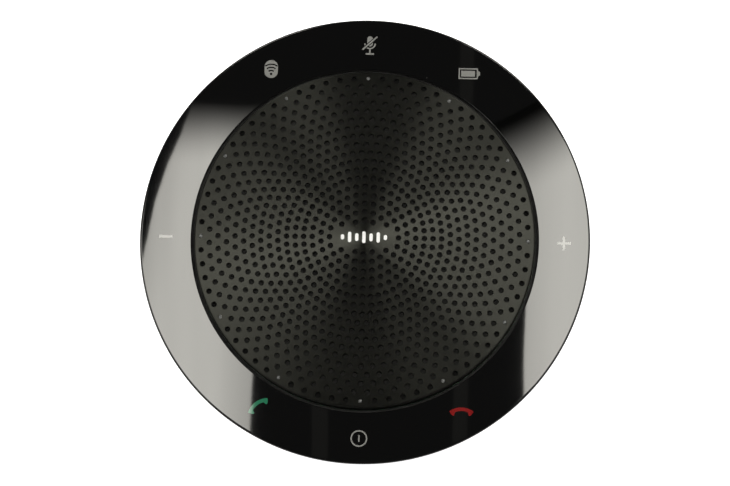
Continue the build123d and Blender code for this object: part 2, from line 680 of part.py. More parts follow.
with BuildPart() as foot_ring:
    with BuildSketch(Plane.XY.offset(FOOT_BOTTOM_Z)):
        Circle(FOOT_OUT_R)
        Circle(FOOT_IN_R, mode=Mode.SUBTRACT)
    extrude(amount=BASE_BOTTOM_Z + FOOT_SEAT)
    fillet(foot_ring.edges().group_by(Axis.Z)[0], 0.4)
write(foot_ring.part, "foot_ring")

with BuildPart() as rating_label:
    with BuildSketch(Plane.XY.offset(BASE_BOTTOM_Z + 0.05)):
        RectangleRounded(LABEL_SIZE[0], LABEL_SIZE[1], 1.5)
    extrude(amount=LABEL_T)
write(rating_label.part, "rating_label")

# ---- main board with its parts ----
with BuildPart() as main_board:
    with BuildSketch(Plane.XY.offset(BOARD_Z)):
        Circle(BOARD_R)
        with PolarLocations(BASE_SCREW_R, 4, start_angle=45):
            Circle(2.9, mode=Mode.SUBTRACT)
        with PolarLocations(BOARD_SCREW_R, 4):
            Circle(BOARD_SCREW[0] + 0.1, mode=Mode.SUBTRACT)
        with Locations((0, 20)):
            SlotOverall(9.0, 3.0, mode=Mode.SUBTRACT)
    extrude(amount=BOARD_T)
write(main_board.part, "main_board")
screw_set("board_screws", BOARD_SCREW_R, 4, 0, BOARD_TOP_Z, 2.7, BOARD_SCREW, heads_down=False)

with BuildPart() as shield_cans:
    with BuildSketch(Plane.XY.offset(BOARD_TOP_Z)):
        with Locations((-7.5, -2)):
            RectangleRounded(13.0, 13.0, 0.6)
        with Locations((8.5, -3)):
            RectangleRounded(12.0, 15.0, 0.6)
    extrude(amount=1.3)
write(shield_cans.part, "shield_cans")

with BuildPart() as board_components:
    # flat chips between board and loudspeaker
    with BuildSketch(Plane.XY.offset(BOARD_TOP_Z)):
        with Locations((0, -14), (-13, 10), (13, 10)):
            Rectangle(5.0, 5.0)
    extrude(amount=0.9)
    # coils and capacitors out where there is height
    with BuildSketch(Plane.XY.offset(BOARD_TOP_Z)):
        with Locations((-16, -20), (-22.5, -13)):
            RectangleRounded(5.0, 5.0, 0.6)
    extrude(amount=2.6)
    with BuildSketch(Plane.XY.offset(BOARD_TOP_Z)):
        with Locations((16, -20.5), (23.5, -13.5), (21.5, 14.5)):
            Circle(2.5)
    extrude(amount=4.6)
    # plug sockets of ribbon, battery and loudspeaker leads
    with BuildSketch(Plane.XY.offset(BOARD_TOP_Z)):
        with Locations((-24.0, 0)):
            Rectangle(3.0, 10.0)
        with Locations((-6.5, 25.0)):
            Rectangle(6.0, 3.6)
        with Locations((7.0, 25.0)):
            Rectangle(5.0, 3.6)
    extrude(amount=2.2)
write(board_components.part, "board_components")

# ---- ribbon from the main board up to the ring board, through the chassis slot ----
RIBBON_T = 0.25
with BuildPart() as ring_ribbon:
    with BuildSketch(Plane.XZ.offset(-4.0)):
        with BuildLine():
            FilletPolyline(
                (-25.6, BOARD_TOP_Z + 1.2),
                (-34.0, BOARD_TOP_Z + 1.2),
                (-47.5, 20.0),
                (-47.5, CHASSIS_TOP_Z),
                radius=2.0,
            )
            offset(amount=RIBBON_T, side=Side.LEFT)
        make_face()
    extrude(amount=8.0)
write(ring_ribbon.part, "ring_ribbon")

# ---- battery, its pad and its lead ----
BATTERY_Z = 4.0
with BuildPart() as battery_pad:
    with BuildSketch(Plane.XY.offset(BASE_TOP_Z)):
        RectangleRounded(46.0, 30.0, 2.0)
    extrude(amount=BATTERY_Z - BASE_TOP_Z)
write(battery_pad.part, "battery_pad")

with BuildPart() as battery:
    with BuildSketch(Plane.XY.offset(BATTERY_Z)):
        RectangleRounded(48.0, 33.0, 3.0)
    extrude(amount=6.0)
    fillet(battery.edges().group_by(Axis.Z)[0] + battery.edges().group_by(Axis.Z)[-1], 1.2)
write(battery.part, "battery")

LEAD_R = 0.6
with BuildPart() as battery_lead:
    with BuildLine() as battery_lead_path:
        FilletPolyline(
            (-2.0, 16.6, 7.0), (-2.0, 19.8, 7.0), (-2.0, 19.8, 18.4), (-6.5, 25.0, 18.4), (-6.5, 25.0, 16.8),
            radius=1.4,
        )
    with BuildSketch(Plane(origin=battery_lead_path.wire() @ 0, z_dir=battery_lead_path.wire() % 0)):
        Circle(LEAD_R)
    sweep(transition=Transition.ROUND)
write(battery_lead.part, "battery_lead")

with BuildPart() as speaker_leads:
    with BuildLine() as speaker_lead_path:
        FilletPolyline(
            (7.0, 25.0, 16.8), (7.0, 25.0, 19.6), (7.0, 21.4, 19.6), (7.0, 21.4, 22.0),
            radius=1.0,
        )
    with BuildSketch(Plane(origin=speaker_lead_path.wire() @ 0, z_dir=speaker_lead_path.wire() % 0)):
        Circle(LEAD_R)
    sweep(transition=Transition.ROUND)
write(speaker_leads.part, "speaker_leads")

# ---- headset socket: box body with a round nose that fills the housing's hole ----
with BuildPart() as headset_jack:
    with BuildSketch(Plane.YZ.offset(JACK_SHOULDER)):
        with Locations((0, JACK_Z)):
            Rectangle(JACK_BODY[1], JACK_BODY[2])
    extrude(amount=-JACK_BODY[0])
    with BuildSketch(Plane.YZ.offset(JACK_SHOULDER)):
        with Locations((0, JACK_Z)):
            Circle(JACK_NOSE_R)
    extrude(amount=JACK_FACE - JACK_SHOULDER)
    with BuildSketch(Plane.YZ.offset(JACK_FACE)):
        with Locations((0, JACK_Z)):
            Circle(JACK_BORE_R)
    extrude(amount=-JACK_BORE_L, mode=Mode.SUBTRACT)
write(headset_jack.part, "headset_jack")

# ---- microphone behind its hole in the skirt's front ----
MIC_BOOT_Y = 55.6
MIC_BOOT_T = 1.5
with BuildPart() as microphone_boot:
    with BuildSketch(Plane.XZ.offset(MIC_BOOT_Y)):
        with Locations((0, MIC_HOLE_Z)):
            RectangleRounded(4.8, 2.3, 0.5)
    extrude(amount=MIC_BOOT_T)
    with BuildSketch(Plane.XZ.offset(MIC_BOOT_Y)):
        with Locations((0, MIC_HOLE_Z)):
            Circle(MIC_HOLE_R)
    extrude(amount=MIC_BOOT_T, mode=Mode.SUBTRACT)
write(microphone_boot.part, "microphone_boot")

with BuildPart() as microphone:
    with BuildSketch(Plane.XZ.offset(MIC_BOOT_Y - 1.0)):
        with Locations((0, MIC_HOLE_Z)):
            Rectangle(3.8, 2.1)
    extrude(amount=1.0)
write(microphone.part, "microphone")

print(len(written), "pieces written")
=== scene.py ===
import math

import bmesh
import bpy
from mathutils import Matrix, Vector
from mathutils.geometry import delaunay_2d_cdt


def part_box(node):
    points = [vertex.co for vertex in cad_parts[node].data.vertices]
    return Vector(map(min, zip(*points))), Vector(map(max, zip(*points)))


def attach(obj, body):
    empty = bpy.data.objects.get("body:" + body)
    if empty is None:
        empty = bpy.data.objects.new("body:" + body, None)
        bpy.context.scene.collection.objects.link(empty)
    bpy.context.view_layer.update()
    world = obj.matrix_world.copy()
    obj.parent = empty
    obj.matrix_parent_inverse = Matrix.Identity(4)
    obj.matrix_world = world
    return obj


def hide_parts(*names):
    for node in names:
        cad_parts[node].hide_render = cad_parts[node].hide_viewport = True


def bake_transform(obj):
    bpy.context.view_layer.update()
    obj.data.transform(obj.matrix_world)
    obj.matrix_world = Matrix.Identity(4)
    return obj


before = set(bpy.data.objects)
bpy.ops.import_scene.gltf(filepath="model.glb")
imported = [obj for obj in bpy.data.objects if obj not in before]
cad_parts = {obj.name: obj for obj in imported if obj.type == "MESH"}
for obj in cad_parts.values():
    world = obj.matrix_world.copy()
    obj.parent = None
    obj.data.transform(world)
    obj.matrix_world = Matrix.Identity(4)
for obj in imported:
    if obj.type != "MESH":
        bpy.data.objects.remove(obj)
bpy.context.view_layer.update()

BODY = "speakerphone"
MM = 0.001

# ---- sizes, from the frame where it holds them ----
ring_low, ring_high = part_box("touch_ring")
grille_low, grille_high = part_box("grille")
foot_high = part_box("foot_ring")[1]
jack_low, jack_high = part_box("headset_jack")
LABEL_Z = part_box("rating_label")[0].z
PIN_TOP_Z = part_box("light_ring")[1].z

RING_OUT_R = ring_high.x
RING_IN_R = 46.3 * MM
RING_TOP_Z = ring_high.z
RING_EDGE_R = 0.6 * MM
RING_LIP_R = 0.1 * MM
RING_UNDER_R = 58.0 * MM
RING_SKIRT_Z = ring_low.z
RING_SKIRT_R = RING_OUT_R - 1.4 * MM
RING_SKIRT_T = 1.6 * MM
RING_FACE_T = 1.8 * MM
KEY_R = 53.0 * MM

GRILLE_R = grille_high.x
GRILLE_T = 0.8 * MM
DOME_TOP_Z = grille_high.z
DOME_R = 431.0 * MM
GRILLE_SKIRT_Z = grille_low.z
GRILLE_EDGE_R = 0.6 * MM
LIGHT_R = 43.5 * MM
LIGHT_COUNT = 12
HOLE_R = 0.7 * MM
LIGHT_HOLE_R = 0.48 * MM
FIRST_ROW, LAST_ROW = 2, 19
HALF_PITCH_ROWS = (3, 5, 10, 12, 14, 16, 18)  # turned by half the angle between two holes
ROW_PITCH = LIGHT_R / LAST_ROW
MARK_FIELD = (8.0 * MM, 2.6 * MM)

MICROPHONE_Z = 25.1 * MM
MICROPHONE_HOLE_R = 0.6 * MM

scene = bpy.context.scene


# ---- mesh helpers ----
def clean_mesh(name, verts, faces):
    """A mesh from plain lists, with its normals facing outwards."""
    mesh = bpy.data.meshes.new(name)
    mesh.from_pydata(verts, [], faces)
    mesh.validate()
    work = bmesh.new()
    work.from_mesh(mesh)
    bmesh.ops.recalc_face_normals(work, faces=work.faces)
    work.to_mesh(mesh)
    work.free()
    return mesh


def shown_mesh(name, mesh, material, sharp_degrees=35):
    """An object of the mesh, smooth but for edges sharper than the angle."""
    mesh.shade_smooth()
    mesh.set_sharp_from_angle(angle=math.radians(sharp_degrees))
    mesh.materials.clear()
    mesh.materials.append(material)
    piece = bpy.data.objects.new(name, mesh)
    scene.collection.objects.link(piece)
    return piece


def place_mesh(name, mesh, material, sharp_degrees=35):
    """A shown mesh that rides on the root body."""
    piece = shown_mesh(name, mesh, material, sharp_degrees)
    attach(piece, BODY)
    return piece


def mesh_piece(name, verts, faces, material, sharp_degrees=35, slot=None):
    """A piece of the root body from plain lists."""
    return place_mesh(name, clean_mesh(name, verts, faces), material, sharp_degrees)


def faces_between(rows, count, around=True):
    """Quads between rows of count points, each row a closed loop. around joins the last row to the first."""
    faces = []
    for i in range(rows if around else rows - 1):
        here, there = i * count, (i + 1) % rows * count
        for k in range(count):
            after = (k + 1) % count
            faces.append((here + k, there + k, there + after, here + after))
    return faces


def profile_at(profile, angle):
    """An (r, z) profile stood up about the Z axis, at an angle in radians."""
    return [(r * math.cos(angle), r * math.sin(angle), z) for r, z in profile]


def revolved(name, profile, segments, material, slot, sharp_degrees=35):
    """A closed (r, z) profile turned about the Z axis in so many segments."""
    verts = []
    for i in range(segments):
        verts += profile_at(profile, 2 * math.pi * i / segments)
    faces = faces_between(segments, len(profile))
    return mesh_piece(name, verts, faces, material, sharp_degrees, slot)


def arc(centre, radius, start, end, steps):
    """Points of an arc, angles in degrees, both ends included."""
    points = []
    for i in range(steps + 1):
        angle = math.radians(start + (end - start) * i / steps)
        points.append((centre[0] + radius * math.cos(angle), centre[1] + radius * math.sin(angle)))
    return points


# ---- material helpers ----
class Nodes:
    """A material's node tree with a Principled shader, and short ways to add to it."""

    def __init__(self, name, color, roughness, metallic=0.0):
        self.material = bpy.data.materials.new(name)
        self.material.use_nodes = True
        self.tree = self.material.node_tree
        self.shader = self.tree.nodes["Principled BSDF"]
        self.set("Base Color", (*color, 1.0))
        self.set("Roughness", roughness)
        self.set("Metallic", metallic)
        self.material.diffuse_color = (*color, 1.0)
        self.place = self.add("ShaderNodeTexCoord").outputs["Object"]

    def set(self, socket, value):
        self.shader.inputs[socket].default_value = value

    def add(self, kind, **inputs):
        node = self.tree.nodes.new(kind)
        for key, value in inputs.items():
            self.feed(node.inputs[key.replace("_", " ")], value)
        return node

    def feed(self, socket, value):
        if isinstance(value, bpy.types.NodeSocket):
            self.tree.links.new(value, socket)
        else:
            socket.default_value = value

    def link(self, output, socket):
        self.tree.links.new(output, self.shader.inputs[socket])

    def noise(self, scale, detail=3.0, vector=None):
        node = self.add("ShaderNodeTexNoise", Scale=scale, Detail=detail)
        self.feed(node.inputs["Vector"], vector or self.place)
        return node.outputs["Fac"]

    def spread(self, value, low, high):
        """Map a 0 to 1 value onto low to high."""
        node = self.add("ShaderNodeMapRange")
        self.feed(node.inputs["Value"], value)
        node.inputs["To Min"].default_value = low
        node.inputs["To Max"].default_value = high
        return node.outputs["Result"]

    def math(self, operation, a, b=0.0):
        node = self.add("ShaderNodeMath")
        node.operation = operation
        self.feed(node.inputs[0], a)
        self.feed(node.inputs[1], b)
        return node.outputs[0]

    def mix(self, factor, a, b):
        node = self.add("ShaderNodeMix")
        node.data_type = "RGBA"
        # the node's sockets for colours come after those for numbers and vectors
        self.feed(node.inputs["Factor"], factor)
        self.feed(node.inputs[6], a if isinstance(a, bpy.types.NodeSocket) else (*a, 1.0))
        self.feed(node.inputs[7], b if isinstance(b, bpy.types.NodeSocket) else (*b, 1.0))
        return node.outputs[2]

    def axis_distance(self):
        """How far a point is from the Z axis, in metres."""
        split = self.add("ShaderNodeSeparateXYZ", Vector=self.place)
        flat = self.add("ShaderNodeCombineXYZ", X=split.outputs["X"], Y=split.outputs["Y"])
        length = self.add("ShaderNodeVectorMath")
        length.operation = "LENGTH"
        self.feed(length.inputs[0], flat.outputs["Vector"])
        return length.outputs["Value"]

    def bump(self, height, strength, distance):
        node = self.add("ShaderNodeBump", Height=height, Strength=strength, Distance=distance)
        self.link(node.outputs["Normal"], "Normal")
        return node

    def rough_noise(self, scale, low, high):
        self.link(self.spread(self.noise(scale), low, high), "Roughness")


def shade(color, factor):
    return tuple(min(1.0, c * factor) for c in color)


def plastic(name, color, roughness, grain=2600.0, depth=0.00002, spread=0.06):
    """Moulded plastic: fine spark-eroded grain and slightly uneven gloss."""
    nodes = Nodes(name, color, roughness)
    patches = nodes.noise(60.0)
    nodes.link(nodes.mix(patches, shade(color, 0.88), shade(color, 1.12)), "Base Color")
    nodes.rough_noise(220.0, roughness - spread, roughness + spread)
    nodes.bump(nodes.noise(grain, 2.0), 0.35, depth)
    return nodes.material


def rubber(name, color):
    nodes = Nodes(name, color, 0.8)
    nodes.link(nodes.mix(nodes.noise(140.0), shade(color, 0.8), shade(color, 1.3)), "Base Color")
    nodes.rough_noise(400.0, 0.68, 0.9)
    nodes.bump(nodes.noise(3200.0, 4.0), 0.5, 0.00003)
    return nodes.material


def metal(name, color, roughness, streak=(1.0, 1.0, 14.0)):
    """Bare metal with drawn streaks along one axis and blotchy roughness."""
    nodes = Nodes(name, color, roughness, 1.0)
    stretch = nodes.add("ShaderNodeMapping", Vector=nodes.place)
    stretch.inputs["Scale"].default_value = streak
    streaks = nodes.noise(900.0, 4.0, stretch.outputs["Vector"])
    nodes.link(nodes.mix(streaks, shade(color, 0.82), shade(color, 1.1)), "Base Color")
    nodes.link(nodes.spread(streaks, roughness * 0.7, roughness * 1.4), "Roughness")
    nodes.bump(streaks, 0.25, 0.00001)
    return nodes.material


def cloth(name, color, scale):
    """Woven cloth or open foam."""
    nodes = Nodes(name, color, 0.9)
    cells = nodes.add("ShaderNodeTexVoronoi", Scale=scale, Vector=nodes.place).outputs["Distance"]
    nodes.link(nodes.mix(cells, shade(color, 1.6), shade(color, 0.5)), "Base Color")
    return finish_weave(nodes, cells)


def finish_weave(nodes, cells):
    nodes.rough_noise(300.0, 0.85, 0.97)
    nodes.bump(cells, 0.7, 0.00005)
    nodes.set("Specular IOR Level", 0.2)
    return nodes.material


def dust_cloth():
    """Fine woven mesh, paler towards its edge."""
    middle, edge = (0.006, 0.006, 0.006), (0.0125, 0.0125, 0.012)
    nodes = Nodes("dust_cloth", middle, 0.9)
    cells = nodes.add("ShaderNodeTexVoronoi", Scale=2400.0, Vector=nodes.place).outputs["Distance"]
    # the weave's colour turns paler from 14 mm to 30 mm from the axis
    outwards = nodes.add("ShaderNodeMapRange", Value=nodes.axis_distance())
    outwards.inputs["From Min"].default_value = 14 * MM
    outwards.inputs["From Max"].default_value = 30 * MM
    weave = nodes.mix(cells, shade(middle, 1.6), shade(middle, 0.5))
    paler_outer = nodes.mix(cells, shade(edge, 1.6), shade(edge, 0.5))
    nodes.link(nodes.mix(outwards.outputs["Result"], weave, paler_outer), "Base Color")
    return finish_weave(nodes, cells)


def board(name, color, trace):
    """Circuit board: solder mask over a maze of copper tracks."""
    nodes = Nodes(name, color, 0.35)
    bricks = nodes.add("ShaderNodeTexBrick", Vector=nodes.place, Scale=420.0)
    bricks.inputs["Mortar Size"].default_value = 0.035
    bricks.inputs["Brick Width"].default_value = 0.9
    bricks.inputs["Row Height"].default_value = 0.35
    tint = nodes.mix(nodes.noise(90.0), shade(color, 0.8), shade(color, 1.2))
    nodes.link(nodes.mix(bricks.outputs["Fac"], tint, trace), "Base Color")
    nodes.rough_noise(500.0, 0.28, 0.42)
    nodes.bump(bricks.outputs["Fac"], 0.5, 0.00003)
    return nodes.material


def gloss_black():
    """The ring's polished face: a deep black with faint moulding waves and a little dust."""
    color = (0.0018, 0.0018, 0.0018)
    nodes = Nodes("gloss_black", color, 0.012)
    dust = nodes.add("ShaderNodeTexVoronoi", Scale=70.0, Vector=nodes.place).outputs["Distance"]
    speck = nodes.math("LESS_THAN", dust, 0.012)
    nodes.link(nodes.mix(speck, color, (0.05, 0.05, 0.047)), "Base Color")
    nodes.link(nodes.spread(nodes.noise(35.0, 5.0), 0.008, 0.018), "Roughness")
    nodes.bump(nodes.noise(40.0, 0.0), 1.0, 0.000008)
    nodes.set("IOR", 1.5)
    return nodes.material


def spun_metal():
    """Dark metal turned on a lathe: fine circular lines and a stretched, fan-shaped gloss."""
    color = (0.0191, 0.0194, 0.0171)
    nodes = Nodes("spun_metal", color, 0.3, 1.0)
    turns = nodes.add("ShaderNodeTexNoise", Scale=9000.0, Detail=2.0)
    turns.noise_dimensions = "1D"
    nodes.feed(turns.inputs["W"], nodes.axis_distance())
    lines = turns.outputs["Fac"]
    nodes.link(nodes.mix(lines, shade(color, 0.75), shade(color, 1.25)), "Base Color")
    nodes.link(nodes.spread(lines, 0.275, 0.37), "Roughness")
    nodes.bump(lines, 0.3, 0.00001)
    nodes.set("Anisotropic", 1.0)
    nodes.set("Anisotropic Rotation", 0.25)
    around = nodes.add("ShaderNodeTangent")
    around.direction_type = "RADIAL"
    around.axis = "Z"
    nodes.link(around.outputs["Tangent"], "Tangent")
    return nodes.material


def ink(name, color, gloss=0.015):
    """Printed sign under the ring's polish, with the slight mottle of screen ink."""
    nodes = Nodes(name, color, gloss)
    nodes.link(nodes.mix(nodes.noise(1500.0, 4.0), shade(color, 0.9), shade(color, 1.08)), "Base Color")
    nodes.rough_noise(900.0, gloss * 0.8, gloss * 1.3)
    nodes.bump(nodes.noise(4000.0), 0.05, 0.000002)
    return nodes.material


def clear_plastic():
    nodes = Nodes("light_pipe_plastic", (0.105, 0.11, 0.11), 0.3)
    nodes.rough_noise(1200.0, 0.18, 0.35)
    nodes.bump(nodes.noise(2500.0), 0.1, 0.00001)
    nodes.set("Transmission Weight", 0.25)
    nodes.set("IOR", 1.49)
    return nodes.material


def lamp_face():
    nodes = Nodes("led_phosphor", (0.75, 0.74, 0.55), 0.4)
    nodes.link(nodes.mix(nodes.noise(1800.0), (0.65, 0.62, 0.35), (0.8, 0.8, 0.7)), "Base Color")
    nodes.bump(nodes.noise(3000.0), 0.2, 0.00001)
    return nodes.material


BLACK_PLASTIC = plastic("black_plastic", (0.012, 0.012, 0.013), 0.5)
HOUSING_PLASTIC = plastic("housing_plastic", (0.018, 0.018, 0.0195), 0.46)
CARRIER_PLASTIC = plastic("carrier_plastic", (0.008, 0.008, 0.008), 0.85)
CARRIER_PLASTIC.node_tree.nodes["Principled BSDF"].inputs["Specular IOR Level"].default_value = 0.1
BLACK_RUBBER = rubber("black_rubber", (0.014, 0.014, 0.014))
SCREW_STEEL = metal("screw_steel", (0.32, 0.32, 0.33), 0.34)
STEEL = metal("tinned_steel", (0.5, 0.5, 0.49), 0.3, (14.0, 1.0, 1.0))
NICKEL = metal("nickel", (0.6, 0.58, 0.54), 0.2)
SPEAKER_STEEL = plastic("basket_paint", (0.02, 0.02, 0.02), 0.38)
COPPER = metal("copper_wire", (0.72, 0.33, 0.17), 0.3, (1.0, 1.0, 30.0))
MESH_CLOTH = dust_cloth()
FOAM = cloth("foam", (0.03, 0.03, 0.032), 1500.0)
SPIDER_CLOTH = cloth("spider_cloth", (0.42, 0.27, 0.09), 1800.0)
CONE_PAPER = plastic("cone_paper", (0.03, 0.03, 0.032), 0.75, 1400.0, 0.00005)
GREEN_BOARD = board("green_board", (0.01, 0.07, 0.028), (0.02, 0.13, 0.045))
CHIP = plastic("chip_resin", (0.012, 0.012, 0.013), 0.42)
FOIL = metal("cell_foil", (0.45, 0.45, 0.47), 0.35, (10.0, 1.0, 1.0))
WIRE = plastic("wire_sleeve", (0.4, 0.012, 0.01), 0.4)
RIBBON = plastic("ribbon_film", (0.35, 0.13, 0.02), 0.25)
LABEL = plastic("label_film", (0.30, 0.30, 0.31), 0.38, 5000.0, 0.000005)
SPUN_METAL = spun_metal()
GLOSS_BLACK = gloss_black()
PALE_INK = ink("pale_ink", (0.24, 0.24, 0.232))
GREEN_INK = ink("green_ink", (0.020, 0.16, 0.084))
RED_INK = ink("red_ink", (0.21, 0.009, 0.009))
MARK_PAINT = ink("mark_paint", (0.9, 0.9, 0.91), 0.4)
DARK_INK = ink("dark_ink", (0.03, 0.03, 0.032))
LIGHT_PIPE = clear_plastic()
LED = lamp_face()

CAD_MATERIALS = {
    BLACK_PLASTIC: ("inner_chassis", "headset_jack"),
    CARRIER_PLASTIC: ("grille_carrier",),
    HOUSING_PLASTIC: ("lower_housing", "cable_hub", "base_plate"),
    BLACK_RUBBER: ("gap_seal", "microphone_boot", "cable_gland"),
    SCREW_STEEL: (
        "carrier_screws",
        "ring_screws",
        "speaker_screws",
        "board_screws",
        "housing_screws",
        "base_screws",
    ),
    STEEL: ("pole_plate", "shield_cans"),
    NICKEL: ("speaker_magnet", "speaker_yoke", "microphone"),
    SPEAKER_STEEL: ("speaker_basket",),
    COPPER: ("voice_coil",),
    MESH_CLOTH: ("dust_mesh",),
    FOAM: ("speaker_gasket", "battery_pad"),
    CONE_PAPER: ("speaker_cone", "dust_cap"),
    GREEN_BOARD: ("ring_board", "main_board"),
    CHIP: ("board_components",),
    FOIL: ("battery",),
    WIRE: ("battery_lead", "speaker_leads"),
    RIBBON: ("ring_ribbon",),
    LABEL: ("rating_label",),
    MARK_PAINT: ("centre_mark",),
    LIGHT_PIPE: ("light_ring",),
    LED: ("ring_leds",),
}
for material, names in CAD_MATERIALS.items():
    for name in names:
        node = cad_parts[name].data
        node.materials.clear()
        node.materials.append(material)
        node.polygons.foreach_set("material_index", [0] * len(node.polygons))


# ---- touch ring: flat polished face, rounded rim, tapered skirt ----
def pierced(mesh, cutter):
    """The mesh with the cutter's shape taken out of it."""
    block, tool = bpy.data.objects.new("block", mesh), bpy.data.objects.new("tool", cutter)
    scene.collection.objects.link(block)
    scene.collection.objects.link(tool)
    step = block.modifiers.new("cut", "BOOLEAN")
    step.object, step.operation, step.solver = tool, "DIFFERENCE", "EXACT"
    result = bpy.data.meshes.new_from_object(block.evaluated_get(bpy.context.evaluated_depsgraph_get()))
    for spent in (block, tool):
        bpy.data.objects.remove(spent)
    return result


def microphone_drill():
    """A round bar through the front of the skirt, where the microphone listens."""
    work = bmesh.new()
    place = Matrix.Translation((0, -RING_SKIRT_R, MICROPHONE_Z)) @ Matrix.Rotation(math.pi / 2, 4, "X")
    bmesh.ops.create_cone(
        work,
        cap_ends=True,
        segments=32,
        radius1=MICROPHONE_HOLE_R,
        radius2=MICROPHONE_HOLE_R,
        depth=8 * MM,
        matrix=place,
    )
    mesh = bpy.data.meshes.new("microphone_drill")
    work.to_mesh(mesh)
    work.free()
    return mesh


def ring_profile():
    """The ring's cut, with guard points just beside each rounding so that the flats shade flat."""
    guard = 0.02 * MM
    flat_r = RING_OUT_R - RING_EDGE_R
    edge_z = RING_TOP_Z - RING_EDGE_R
    lean = guard * (RING_OUT_R - RING_SKIRT_R) / (edge_z - RING_SKIRT_Z)
    under_z = RING_TOP_Z - RING_FACE_T
    lip = arc((RING_IN_R + RING_LIP_R, RING_TOP_Z - RING_LIP_R), RING_LIP_R, 180, 90, 8)
    edge = arc((flat_r, edge_z), RING_EDGE_R, 90, 0, 16)
    return [
        *lip,
        (RING_IN_R + RING_LIP_R + guard, RING_TOP_Z),
        (KEY_R, RING_TOP_Z),
        (flat_r - guard, RING_TOP_Z),
        *edge,
        (RING_OUT_R - lean, edge_z - guard),
        (RING_SKIRT_R + lean, RING_SKIRT_Z + guard),
        (RING_SKIRT_R - guard, RING_SKIRT_Z),
        (RING_SKIRT_R - RING_SKIRT_T, RING_SKIRT_Z),
        (RING_UNDER_R, under_z),
        (RING_IN_R + guard, under_z),
        (RING_IN_R, under_z + guard),
    ]


ring = revolved("touch_ring_shell", ring_profile(), 288, GLOSS_BLACK, "gloss_black", sharp_degrees=50)
ring.data = pierced(ring.data, microphone_drill())
ring.data.shade_smooth()
ring.data.set_sharp_from_angle(angle=math.radians(35))
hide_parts("touch_ring")


# ---- grille: punched dome ----
def row_of_holes(row):
    """Count and first angle of the holes in a row, which is numbered by its distance from the axis."""
    if row >= 12:
        count = 72
    elif row >= 9:
        count = 60
    elif row >= 7:
        count = 48
    else:
        count = 6 * row
    start = math.pi / count if row in HALF_PITCH_ROWS else 0.0
    return count, start


def hole_places():
    """(x, y, radius) of every hole: the sound holes and the twelve light holes in the last row."""
    places = []
    for row in range(FIRST_ROW, LAST_ROW + 1):
        count, start = row_of_holes(row)
        for i in range(count):
            angle = start + 2 * math.pi * i / count
            x = row * ROW_PITCH * math.cos(angle)
            y = row * ROW_PITCH * math.sin(angle)
            if abs(x) < MARK_FIELD[0] and abs(y) < MARK_FIELD[1]:
                continue
            light = row == LAST_ROW and i % (count // LIGHT_COUNT) == 0
            places.append((x, y, LIGHT_HOLE_R if light else HOLE_R))
    return places


def dome_z(r):
    """Height of the grille's upper side at distance r from the axis."""
    return DOME_TOP_Z - DOME_R + math.sqrt(DOME_R**2 - r**2)


HOLE_SIDES = 20
EDGE_SIDES = 432
BEND_R = GRILLE_R - GRILLE_EDGE_R
UNDER_BEND_R = BEND_R - 0.3 * MM
BEVEL = 0.05 * MM
ON_EDGE, INSIDE = -1, -2


def ring_of_points(radius, sides, centre=(0.0, 0.0)):
    """Points evenly spaced around a circle."""
    points = []
    for i in range(sides):
        angle = 2 * math.pi * i / sides
        points.append(Vector((centre[0] + radius * math.cos(angle), centre[1] + radius * math.sin(angle))))
    return points


def dome_plan(holes):
    """The dome seen from above, in triangles. Each point is tagged with its loop, which is a hole's number,
    ON_EDGE or INSIDE, and with its place in that loop."""
    flat, edges, owner = [], [], []
    loops = []
    for h, (x, y, radius) in enumerate(holes):
        loops.append((h, ring_of_points(radius + BEVEL, HOLE_SIDES, (x, y))))
    loops.append((ON_EDGE, ring_of_points(BEND_R, EDGE_SIDES)))
    for loop, around in loops:
        first, sides = len(flat), len(around)
        flat += around
        owner += [(loop, i) for i in range(sides)]
        edges += [(first + i, first + (i + 1) % sides) for i in range(sides)]
    # a few loose points keep the plain field under the mark evenly curved
    grid = 1.5 * MM
    for i in range(-4, 5):
        for j in range(-1, 2):
            flat.append(Vector((i * grid, j * grid)))
            owner.append((INSIDE, 0))
    every_triangle, tolerance = 0, 1e-9
    points, _, triangles, came_from, _, _ = delaunay_2d_cdt(flat, edges, [], every_triangle, tolerance)
    tags = [owner[c[0]] if c else (INSIDE, 0) for c in came_from]

    def fills_a_hole(triangle):
        loops_met = {tags[k][0] for k in triangle}
        return len(loops_met) == 1 and loops_met.pop() >= 0

    return points, tags, [t for t in triangles if not fills_a_hole(t)]


def join_loops(faces, upper, lower):
    """Quads between two closed loops of points."""
    for i in range(len(upper)):
        after = (i + 1) % len(upper)
        faces.append((upper[i], upper[after], lower[after], lower[i]))


def add_loop(verts, points):
    """Add a loop's points and return their numbers."""
    first = len(verts)
    verts += points
    return list(range(first, len(verts)))


